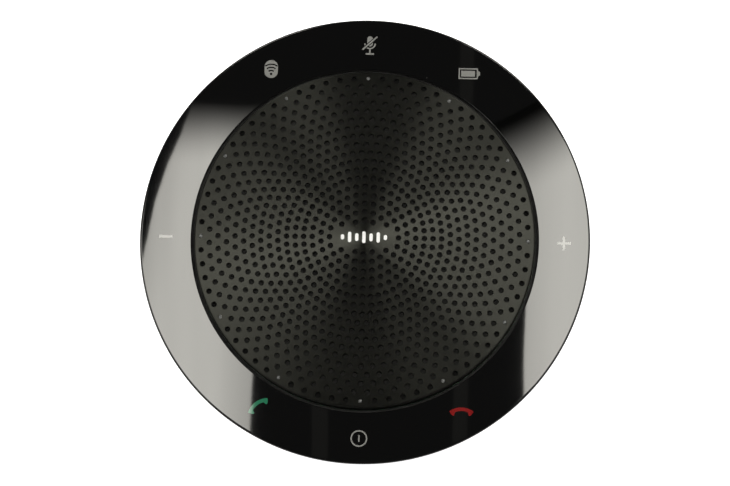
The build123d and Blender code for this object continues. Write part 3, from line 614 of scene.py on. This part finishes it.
def build_grille():
    """The dome's upper and under sides, a wall in each hole, and the edge with its skirt."""
    holes = hole_places()
    points, tags, triangles = dome_plan(holes)
    count = len(points)
    verts = [(p.x, p.y, dome_z(p.length)) for p in points]
    for p, (loop, _) in zip(points, tags):
        if loop == ON_EDGE:
            p = p.normalized() * UNDER_BEND_R
        elif loop != INSIDE:
            x, y, radius = holes[loop]
            centre = Vector((x, y))
            p = centre + (p - centre).normalized() * radius
        verts.append((p.x, p.y, dome_z(p.length) - GRILLE_T))
    faces = []
    for triangle in triangles:
        faces.append(tuple(triangle))
        faces.append(tuple(count + k for k in reversed(triangle)))
    loops = {}
    for k, (loop, i) in enumerate(tags):
        if loop != INSIDE:
            loops.setdefault(loop, {})[i] = k

    # hole walls: a small bevel, then straight down to the underside
    for h, (x, y, radius) in enumerate(holes):
        top = [loops[h][i] for i in range(HOLE_SIDES)]
        around = ring_of_points(radius, HOLE_SIDES, (x, y))
        lip = add_loop(verts, [(p.x, p.y, dome_z(p.length) - BEVEL) for p in around])
        join_loops(faces, top, lip)
        join_loops(faces, lip, [count + k for k in top])

    # rounded edge, skirt, and back up to the underside
    rounding = arc((BEND_R, dome_z(BEND_R) - GRILLE_EDGE_R), GRILLE_EDGE_R, 90, 0, 8)[1:]
    foot_bevel, inner_bend = 0.1 * MM, 0.4 * MM
    edge = [
        *rounding,
        (GRILLE_R, GRILLE_SKIRT_Z + foot_bevel),
        (GRILLE_R - foot_bevel, GRILLE_SKIRT_Z),
        (GRILLE_R - GRILLE_T, GRILLE_SKIRT_Z),
        (GRILLE_R - GRILLE_T, dome_z(BEND_R) - GRILLE_T - inner_bend),
    ]
    above = [loops[ON_EDGE][i] for i in range(EDGE_SIDES)]
    underside = [count + k for k in above]
    for r, z in edge:
        below = add_loop(verts, [(p.x, p.y, z) for p in ring_of_points(r, EDGE_SIDES)])
        join_loops(faces, above, below)
        above = below
    join_loops(faces, above, underside)
    return verts, faces


grille = mesh_piece(
    "punched_grille", *build_grille(), SPUN_METAL, sharp_degrees=30, slot="dark_spun_metal"
)
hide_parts("grille")


# ---- light tips: small domed lenses on the twelve pins ----
def build_lenses():
    """Each lens is a few shrinking loops up to a tip, closed underneath."""
    verts, faces = [], []
    radius, rise, sides, rings = 0.44 * MM, 0.09 * MM, 16, 4
    for centre in ring_of_points(LIGHT_R, LIGHT_COUNT):
        loops = []
        for j in range(rings):
            share = 1 - j / rings
            z = PIN_TOP_Z + rise * (1 - share**2)
            around = ring_of_points(radius * share, sides, centre)
            loops.append(add_loop(verts, [(p.x, p.y, z) for p in around]))
        for outer, inner in zip(loops, loops[1:]):
            join_loops(faces, outer, inner)
        (top,) = add_loop(verts, [(centre.x, centre.y, PIN_TOP_Z + rise)])
        last = loops[-1]
        for i in range(sides):
            faces.append((last[i], last[(i + 1) % sides], top))
        faces.append(tuple(reversed(loops[0])))
    return verts, faces


mesh_piece("light_lenses", *build_lenses(), LIGHT_PIPE, sharp_degrees=60, slot="clear_plastic")


# ---- printed signs, drawn in millimetres around their own middle ----
INK_T = 0.012 * MM


def circle(cx, cy, radius, steps=48):
    """A full circle, without its last point twice."""
    return arc((cx, cy), radius, 0, 360 - 360 / steps, steps - 1)


def bar(cx, cy, width, height, corner=0.0):
    """A rectangle, with round corners where corner isn't 0."""
    x, y = width / 2, height / 2
    if not corner:
        return [(cx - x, cy - y), (cx + x, cy - y), (cx + x, cy + y), (cx - x, cy + y)]
    points = []
    for sx, sy, start in ((1, 1, 0), (-1, 1, 90), (-1, -1, 180), (1, -1, 270)):
        points += arc((cx + sx * (x - corner), cy + sy * (y - corner)), corner, start, start + 90, 6)
    return points


def band(cx, cy, radius, width, start, end, steps=24):
    """A curved stroke with round ends."""

    def round_end(angle, start_turn):
        tip = math.radians(angle)
        middle = (cx + radius * math.cos(tip), cy + radius * math.sin(tip))
        return arc(middle, width / 2, start_turn, start_turn + 180, 6)[1:-1]

    points = arc((cx, cy), radius + width / 2, start, end, steps)
    points += round_end(end, end)
    points += arc((cx, cy), radius - width / 2, end, start, steps)
    points += round_end(start, start + 180)
    return points


def handset(tilt, span=1.3, radius=4.9, thin=0.95, thick=1.6):
    """A telephone handset about its own middle: a flat arc, thin in the middle and thick at both ends.
    t runs from -1 to 1 along it. The swelling starts at 0.55, and the ends round off from 0.9."""
    steps = 40
    outer, inner = [], []
    for i in range(steps + 1):
        t = 2 * i / steps - 1
        swell = min(1.0, max(0.0, (abs(t) - 0.55) / 0.3))
        swell = swell * swell * (3 - 2 * swell)
        round_off = 1 - 0.35 * max(0.0, (abs(t) - 0.9) / 0.1) ** 2
        depth = (thin + (thick - thin) * swell) * round_off
        angle = math.pi / 2 - t * span / 2
        corner = thin * 0.2 if abs(t) > 0.99 else 0.0
        far = radius + thin / 2 - corner
        near = radius + thin / 2 - depth
        outer.append((far * math.cos(angle), far * math.sin(angle)))
        inner.append((near * math.cos(angle), near * math.sin(angle)))
    points = outer + inner[::-1]
    heights = [y for _, y in points]
    middle = (max(heights) + min(heights)) / 2
    c, s = math.cos(tilt), math.sin(tilt)
    return [(x * c - (y - middle) * s, x * s + (y - middle) * c) for x, y in points]


def stroke(start, end, width):
    """A straight stroke with square ends."""
    a, b = Vector(start), Vector(end)
    along = (b - a).normalized()
    side = Vector((-along.y, along.x)) * width / 2
    return [tuple(a - side), tuple(b - side), tuple(b + side), tuple(a + side)]


def filled(loops):
    """Flat mesh of closed loops in millimetres, where a loop inside another is a hole."""
    curve = bpy.data.curves.new("sign_outline", "CURVE")
    curve.dimensions = "2D"
    curve.fill_mode = "FRONT"
    for loop in loops:
        spline = curve.splines.new("POLY")
        spline.points.add(len(loop) - 1)
        for point, (x, y) in zip(spline.points, loop):
            point.co = (x, y, 0, 1)
        spline.use_cyclic_u = True
    holder = bpy.data.objects.new("sign_outline", curve)
    mesh = bpy.data.meshes.new_from_object(holder)
    bpy.data.objects.remove(holder)
    bpy.data.curves.remove(curve)
    work = bmesh.new()
    work.from_mesh(mesh)
    bpy.data.meshes.remove(mesh)
    bmesh.ops.scale(work, vec=(MM, MM, MM), verts=work.verts)
    bmesh.ops.remove_doubles(work, verts=work.verts, dist=1e-7)
    return work


def cut(work, point, normal):
    """Cut the faces of a sign along a plane, without removing any."""
    geometry = work.verts[:] + work.edges[:] + work.faces[:]
    bmesh.ops.bisect_plane(work, geom=geometry, plane_co=point, plane_no=normal)


def clear_band(work, start, end, width):
    """Remove what lies within a straight band, so that a stroke can be drawn there."""
    a, b = Vector((*start, 0)) * MM, Vector((*end, 0)) * MM
    along = (b - a).normalized()
    normal = Vector((-along.y, along.x, 0))
    half = width * MM / 2
    for side in (-1, 1):
        cut(work, a + normal * half * side, normal)
    inside = [f for f in work.faces if abs((f.calc_center_median() - a).dot(normal)) < half]
    bmesh.ops.delete(work, geom=inside, context="FACES")


def print_sign(name, work, place, surface_z, material):
    """Thicken a flat sign to an ink film and lay it at place, sunk by half its film into the surface."""
    bmesh.ops.recalc_face_normals(work, faces=work.faces)
    for face in work.faces:
        if face.normal.z < 0:
            face.normal_flip()
    made = bmesh.ops.extrude_face_region(work, geom=work.faces[:])
    upper = {v for v in made["geom"] if isinstance(v, bmesh.types.BMVert)}
    for v in work.verts:
        x, y = v.co.x + place[0], v.co.y + place[1]
        lift = INK_T if v in upper else -INK_T * 0.5
        v.co = (x, y, surface_z + lift)
    bmesh.ops.recalc_face_normals(work, faces=work.faces)
    mesh = bpy.data.meshes.new(name)
    work.to_mesh(mesh)
    work.free()
    return place_mesh(name, mesh, material)


def key_place(degrees, out=0.0):
    """The middle of a key at an angle on the ring, moved outwards by out."""
    angle = math.radians(degrees)
    return (KEY_R + out) * math.cos(angle), (KEY_R + out) * math.sin(angle)


def add_loops(work, loops):
    """Add more flat shapes to a sign."""
    extra = filled(loops)
    mesh = bpy.data.meshes.new("sign_part")
    extra.to_mesh(mesh)
    extra.free()
    work.from_mesh(mesh)
    bpy.data.meshes.remove(mesh)


def mute_sign():
    """A microphone on its stand, struck through."""
    parts = filled([bar(0, 1.1, 1.5, 2.8, 0.74)])
    for loop in (band(0, 0.5, 1.38, 0.36, 185, 355), bar(0, -1.55, 0.4, 1.1), bar(0, -2.35, 2.3, 0.42)):
        add_loops(parts, [loop])
    slash = ((-2.0, -1.2), (1.9, 2.4))
    clear_band(parts, *slash, 0.84)
    add_loops(parts, [stroke(*slash, 0.42)])
    return parts


def wireless_sign():
    """A pill with three radio waves cut out of it."""
    pill = bar(0, 0, 3.6, 4.9, 1.72)
    waves = [band(0, -1.5, radius, 0.36, 58, 122) for radius in (1.1, 1.95, 2.8)]
    return filled([pill, circle(0, -1.35, 0.34, 20), *waves])


def battery_sign():
    """A battery outline with its charge and its contact."""
    work = filled([bar(-0.2, 0, 5.2, 3.0, 0.2), bar(-0.2, 0, 4.5, 2.3, 0.08)])
    add_loops(work, [bar(-0.25, 0, 3.7, 1.6)])
    add_loops(work, [[(2.45, -0.75), (2.95, -0.4), (2.95, 0.4), (2.45, 0.75)]])
    return work


def power_sign():
    """A circle around an upright stroke."""
    work = filled([circle(0, 0, 2.22), circle(0, 0, 1.85)])
    add_loops(work, [bar(0, 0, 0.4, 1.8)])
    return work


def plus_sign():
    """Two crossed bars of the same length, drawn as one outline."""
    reach, half = 1.8, 0.33
    lower = [(-reach, -half), (-half, -half), (-half, -reach), (half, -reach), (half, -half), (reach, -half)]
    return filled([lower + [(-x, -y) for x, y in lower]])


print_sign("sign_mute", mute_sign(), key_place(89.8), RING_TOP_Z, PALE_INK)
print_sign("sign_wireless", wireless_sign(), key_place(119.6), RING_TOP_Z, PALE_INK)
print_sign("sign_battery", battery_sign(), key_place(59.5), RING_TOP_Z, PALE_INK)
print_sign("sign_quieter", filled([bar(0, 0, 3.5, 0.7)]), key_place(180), RING_TOP_Z, PALE_INK)
print_sign("sign_louder", plus_sign(), key_place(0), RING_TOP_Z, PALE_INK)
answer = filled([handset(math.radians(38))])
print_sign("sign_answer", answer, key_place(238.9, -0.5 * MM), RING_TOP_Z, GREEN_INK)
end_call = filled([handset(0.0)])
print_sign("sign_end_call", end_call, key_place(300.4, -0.2 * MM), RING_TOP_Z, RED_INK)
print_sign("sign_power", power_sign(), key_place(269.8, 0.2 * MM), RING_TOP_Z, PALE_INK)


# ---- rating label: plain rules and a box instead of any words ----
def label_print():
    """A frame, five text lines drawn as plain bars, a row of upright bars and an empty box."""
    work = filled([bar(0, 0, 35.6, 19.6, 1.2), bar(0, 0, 35.1, 19.1, 1.0)])
    for row, (start, end) in enumerate(((-16, 2), (-16, -3), (-16, 0), (-16, -6), (-16, -1))):
        add_loops(work, [bar((start + end) / 2, 6.4 - row * 2.1, end - start, 0.55, 0.2)])
    for column in range(9):
        add_loops(work, [bar(4.6 + column * 1.35, -5.6, 0.35 + 0.22 * (column % 3), 4.2)])
    add_loops(work, [bar(10.0, 3.2, 10.6, 7.6, 0.6), bar(10.0, 3.2, 10.0, 7.0, 0.4)])
    return work


print_sign("label_print", label_print(), (0, 0), LABEL_Z, DARK_INK)


# ---- foot: soft ring with fine grooves in its resting face ----
def foot_profile():
    """The foot's cut: grooves in the resting face, between two rounded lips."""
    lip, width = 0.4 * MM, 6.0 * MM
    inner_r, outer_r = foot_high.x - width, foot_high.x
    top_z = foot_high.z
    points = [(inner_r, top_z), *arc((inner_r + lip, lip), lip, 180, 270, 5)]
    groove, depth, count = 0.35 * MM, 0.25 * MM, 5  # half width at the face, depth, number
    for k in range(count):
        middle = inner_r + lip + (outer_r - inner_r - 2 * lip) * (k + 0.5) / count
        points += [
            (middle - groove, 0.0),
            (middle - groove * 0.6, depth),
            (middle + groove * 0.6, depth),
            (middle + groove, 0.0),
        ]
    return points + [*arc((outer_r - lip, lip), lip, 270, 360, 5), (outer_r, top_z)]


foot = revolved("grooved_foot", foot_profile(), 192, BLACK_RUBBER, "black_rubber")
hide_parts("foot_ring")


# ---- loudspeaker's soft rings between the basket and the cone ----
ROLL_IN_R, ROLL_OUT_R = 22.0 * MM, 25.4 * MM
FOLDS_IN_R, FOLDS_OUT_R = 9.8 * MM, 17.6 * MM


def surround_profile():
    """A half roll between two flanges, glued to the cone's rim and to the basket."""
    low_corner, high_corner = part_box("speaker_surround")
    base_z, outer_r = low_corner.z, high_corner.x
    inner_r, thick = 20.9 * MM, 0.4 * MM
    middle_r = (ROLL_IN_R + ROLL_OUT_R) / 2
    roll = (ROLL_OUT_R - ROLL_IN_R) / 2
    # the upper side is a flatter arc that is as high, but 0.3 mm wider at each foot
    half_width = roll + 0.3 * MM
    over_roll = (half_width**2 + roll**2) / (2 * roll)
    over_z = base_z + thick + roll - over_roll
    tip = math.degrees(math.asin((base_z + thick - over_z) / over_roll))
    return [
        *arc((middle_r, base_z), roll, 180, 0, 16),
        (outer_r, base_z),
        (outer_r, base_z + thick),
        *arc((middle_r, over_z), over_roll, tip, 180 - tip, 16),
        (inner_r, base_z + thick),
        (inner_r, base_z),
    ]


def spider_profile():
    """A disc of pressed cloth in four rounded folds, with a flat rim on the basket."""
    low_corner, high_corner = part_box("speaker_spider")
    base_z, outer_r = low_corner.z, high_corner.x
    rise, thick = 0.5 * MM, 0.25 * MM
    folds, steps = 4, 48
    under = []
    for i in range(steps + 1):
        share = i / steps
        lift = rise * (1 - math.cos(2 * math.pi * folds * share)) / 2
        under.append((FOLDS_IN_R + (FOLDS_OUT_R - FOLDS_IN_R) * share, base_z + lift))
    under.append((outer_r, base_z))
    return under + [(r, z + thick) for r, z in reversed(under)]


def bending_ring(node, profile, sectors, material):
    """A closed (r, z) profile turned about Z, in sectors that are each a piece of their own."""
    steps_all_round = 240
    steps = steps_all_round // sectors
    half = math.pi / sectors
    faces = faces_between(steps + 1, len(profile), around=False)
    for k in range(sectors):
        middle = 2 * half * k
        verts = []
        for i in range(steps + 1):
            verts += profile_at(profile, middle + half * (2 * i / steps - 1))
        name = f"{node}_{k + 1:02d}"
        sector = shown_mesh(name, clean_mesh(name, verts, faces), material)
        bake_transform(sector)
        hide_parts(node)


roll, folds = surround_profile(), spider_profile()
bending_ring("speaker_surround", roll, 24, BLACK_RUBBER)
bending_ring("speaker_spider", folds, 12, SPIDER_CLOTH)


# ---- headset socket: plated contact sleeve just inside the mouth ----
def build_sleeve():
    """A thin tube with a bevelled flange at the mouth: (r, x) points turned about the socket's axis."""
    axis_z = (jack_low.z + jack_high.z) / 2
    mouth = jack_high.x
    sides = 40
    profile = [
        (1.80 * MM, mouth - 3.0 * MM),
        (1.80 * MM, mouth - 0.15 * MM),
        (1.95 * MM, mouth),
        (2.55 * MM, mouth),
        (2.62 * MM, mouth - 0.07 * MM),
        (2.62 * MM, mouth - 0.3 * MM),
        (2.0 * MM, mouth - 0.3 * MM),
        (2.0 * MM, mouth - 3.0 * MM),
    ]
    verts = []
    for i in range(sides):
        angle = 2 * math.pi * i / sides
        verts += [(x, r * math.cos(angle), axis_z + r * math.sin(angle)) for r, x in profile]
    return verts, faces_between(sides, len(profile))


mesh_piece("jack_sleeve", *build_sleeve(), NICKEL, sharp_degrees=40, slot="nickel")


# ---- camera, and the spot it looks from ----
def build_camera():
    """A long lens high above the front edge, turned a little. Returns where the eye is."""
    azimuth, elevation, roll = math.radians(13.45), math.radians(79.83), math.radians(-12.23)
    distance = 1.0567
    back = Vector(
        (
            math.sin(azimuth) * math.cos(elevation),
            -math.cos(azimuth) * math.cos(elevation),
            math.sin(elevation),
        )
    )
    level = Vector((math.cos(azimuth), math.sin(azimuth), 0))
    right = level * math.cos(roll) + back.cross(level) * math.sin(roll)
    up = back.cross(right)
    aim = Vector((0, 0, dome_z(LIGHT_R))) + right * 0.2 * MM - up * 1.14 * MM
    data = bpy.data.cameras.new("camera")
    data.lens = 196.2
    data.sensor_width = 36.0
    camera = bpy.data.objects.new("camera", data)
    rotation = Matrix((right, up, back)).transposed().to_4x4()
    camera.matrix_world = Matrix.Translation(aim + back * distance) @ rotation
    scene.collection.objects.link(camera)
    scene.camera = camera
    return aim + back * distance


EYE = build_camera()


# ---- studio: pale floor, two big white cards overhead, soft light from the sides ----
def build_floor():
    """Matt white paper with a glow of its own, so that it stays white all round."""
    mesh = bpy.data.meshes.new("floor")
    half = 6.0
    corners = [(x, y, 0) for x, y in bar(0, 0, 2 * half, 2 * half)]
    mesh.from_pydata(corners, [], [(0, 1, 2, 3)])
    floor = bpy.data.objects.new("floor", mesh)
    scene.collection.objects.link(floor)
    nodes = Nodes("floor_paper", (0.86, 0.86, 0.86), 0.9)
    nodes.link(nodes.mix(nodes.noise(3.0), (0.855, 0.855, 0.855), (0.87, 0.87, 0.87)), "Base Color")
    nodes.set("Specular IOR Level", 0.0)
    nodes.set("Emission Color", (1.0, 1.0, 1.0, 1.0))
    nodes.set("Emission Strength", 1.0)
    mesh.materials.append(nodes.material)


CARD_HEIGHT = 6.0
CARD_COLOR = (1.0, 0.98, 0.905)
CARD_POWER = 11.5
REAR_POWER = 14.0
STRIP_POWER = 0.15


def overhead(x, y):
    """The spot overhead that the eye sees mirrored at (x, y) of the ring's flat face, in millimetres."""
    point = Vector((x, y, 0)) * MM
    point.z = RING_TOP_Z
    ray = point - EYE
    ray.z = -ray.z
    return point + ray * (CARD_HEIGHT / ray.z)


class Card:
    """A white card overhead, its outline and its soft edges given as seen mirrored in the ring's face."""

    def __init__(self, name, corners, strength):
        mesh = bpy.data.meshes.new(name)
        mesh.from_pydata([tuple(overhead(x, y)) for x, y in corners], [], [tuple(range(len(corners)))])
        card = bpy.data.objects.new(name, mesh)
        scene.collection.objects.link(card)
        material = bpy.data.materials.new(name)
        material.use_nodes = True
        self.tree = material.node_tree
        self.tree.nodes.clear()
        self.place = self.tree.nodes.new("ShaderNodeTexCoord").outputs["Object"]
        self.glow = self.tree.nodes.new("ShaderNodeEmission")
        self.glow.inputs["Color"].default_value = (*CARD_COLOR, 1.0)
        self.glow.inputs["Strength"].default_value = strength
        self.level = None
        out = self.tree.nodes.new("ShaderNodeOutputMaterial")
        self.tree.links.new(self.glow.outputs["Emission"], out.inputs["Surface"])
        mesh.materials.append(material)
        card.visible_camera = False

    def soften(self, full, gone, low=0.0):
        """Brightness falls smoothly from the spot full to the spot gone, along the line between them."""
        a, b = overhead(*full), overhead(*gone)
        along = (b - a) / (b - a).length_squared
        across = self.tree.nodes.new("ShaderNodeVectorMath")
        across.operation = "DOT_PRODUCT"
        across.inputs[1].default_value = along
        self.tree.links.new(self.place, across.inputs[0])
        fade = self.tree.nodes.new("ShaderNodeMapRange")
        fade.interpolation_type = "SMOOTHSTEP"
        fade.inputs["From Min"].default_value = along.dot(a)
        fade.inputs["From Max"].default_value = along.dot(b)
        fade.inputs["To Min"].default_value = 1.0
        fade.inputs["To Max"].default_value = low
        self.tree.links.new(across.outputs["Value"], fade.inputs["Value"])
        self.multiply(fade.outputs["Result"])

    def multiply(self, factor):
        strength = self.glow.inputs["Strength"]
        step = self.tree.nodes.new("ShaderNodeMath")
        step.operation = "MULTIPLY"
        if self.level is None:
            step.inputs[0].default_value = strength.default_value
        else:
            self.tree.links.new(self.level, step.inputs[0])
        self.tree.links.new(factor, step.inputs[1])
        self.level = step.outputs[0]
        self.tree.links.new(self.level, strength)

    def streak(self, amount):
        """Long faint streaks, like folds in a diffuser."""
        stretch = self.tree.nodes.new("ShaderNodeMapping")
        stretch.inputs["Scale"].default_value = (22.0, 1.5, 1.0)
        noise = self.tree.nodes.new("ShaderNodeTexNoise")
        noise.inputs["Scale"].default_value = 1.0
        ramp = self.tree.nodes.new("ShaderNodeMapRange")
        ramp.inputs["To Min"].default_value = 1.0 - amount
        ramp.inputs["To Max"].default_value = 1.0 + amount
        self.tree.links.new(self.place, stretch.inputs["Vector"])
        self.tree.links.new(stretch.outputs["Vector"], noise.inputs["Vector"])
        self.tree.links.new(noise.outputs["Fac"], ramp.inputs["Value"])
        self.multiply(ramp.outputs["Result"])


def build_cards():
    """Two cards, left and right. Their inner outlines are the borders of the ring's bright stretches."""
    left_outline = [
        (-28.6, -62),
        (-28.6, 36.6),
        (-47.2, 36.6),
        (-49.7, 28.7),
        (-53.2, 19.4),
        (-55.8, 9.8),
        (-57.6, 0),
        (-59.4, -8),
        (-130, 40),
        (-900, 520),
        (-900, -900),
    ]
    left = Card("left_card", left_outline, CARD_POWER)
    left.soften((-45, 19), (-45, 38))
    left.soften((-41, -20), (-28, -20), 0.72)
    left.soften((-48, 0), (-60, 2), 0.78)
    left.soften((-120, 0), (-420, 0), 0.3)
    left.soften((0, -80), (0, -420), 0.1)
    left.streak(0.08)
    right_outline = [
        (43.1, -50),
        (900, -700),
        (900, 534),
        (30, 29.6),
        (30, 10),
        (43.1, -14),
    ]
    right = Card("right_card", right_outline, CARD_POWER)
    right.soften((46, 14), (36, 31.5))
    right.soften((54, -10), (42, -10), 0.84)
    right.soften((200, 0), (500, 0), 0.1)
    right.soften((0, -80), (0, -420), 0.1)
    right.streak(0.06)
    # two squares far behind give the spun metal its second pair of fans
    for name, x, y in (("rear_left_light", -330, 700), ("rear_right_light", 420, 720)):
        Card(name, bar(x, y, 300, 300), REAR_POWER)
    # two narrow strips show faintly in the ring's black stretches
    for x, y, width, length in ((26.6, -5, 3.7, 190), (-10.8, -60, 4.2, 80)):
        Card("faint_strip", bar(x, y, width, length), STRIP_POWER).streak(0.2)


def build_world():
    """A dark sky that brightens below 55 degrees, down to a soft horizon at 15."""
    world = bpy.data.worlds.new("studio")
    scene.world = world
    world.use_nodes = True
    tree = world.node_tree
    sky = tree.nodes["Background"]
    place = tree.nodes.new("ShaderNodeTexCoord")
    split = tree.nodes.new("ShaderNodeSeparateXYZ")
    ramp = tree.nodes.new("ShaderNodeMapRange")
    ramp.interpolation_type = "SMOOTHSTEP"
    ramp.inputs["From Min"].default_value = math.sin(math.radians(15))
    ramp.inputs["From Max"].default_value = math.sin(math.radians(55))
    ramp.inputs["To Min"].default_value = 0.3
    ramp.inputs["To Max"].default_value = 0.06
    tree.links.new(place.outputs["Generated"], split.inputs["Vector"])
    tree.links.new(split.outputs["Z"], ramp.inputs["Value"])
    tree.links.new(ramp.outputs["Result"], sky.inputs["Strength"])
    sky.inputs["Color"].default_value = (1.0, 1.0, 1.0, 1.0)


build_floor()
build_cards()
build_world()
scene.view_settings.view_transform = "Standard"
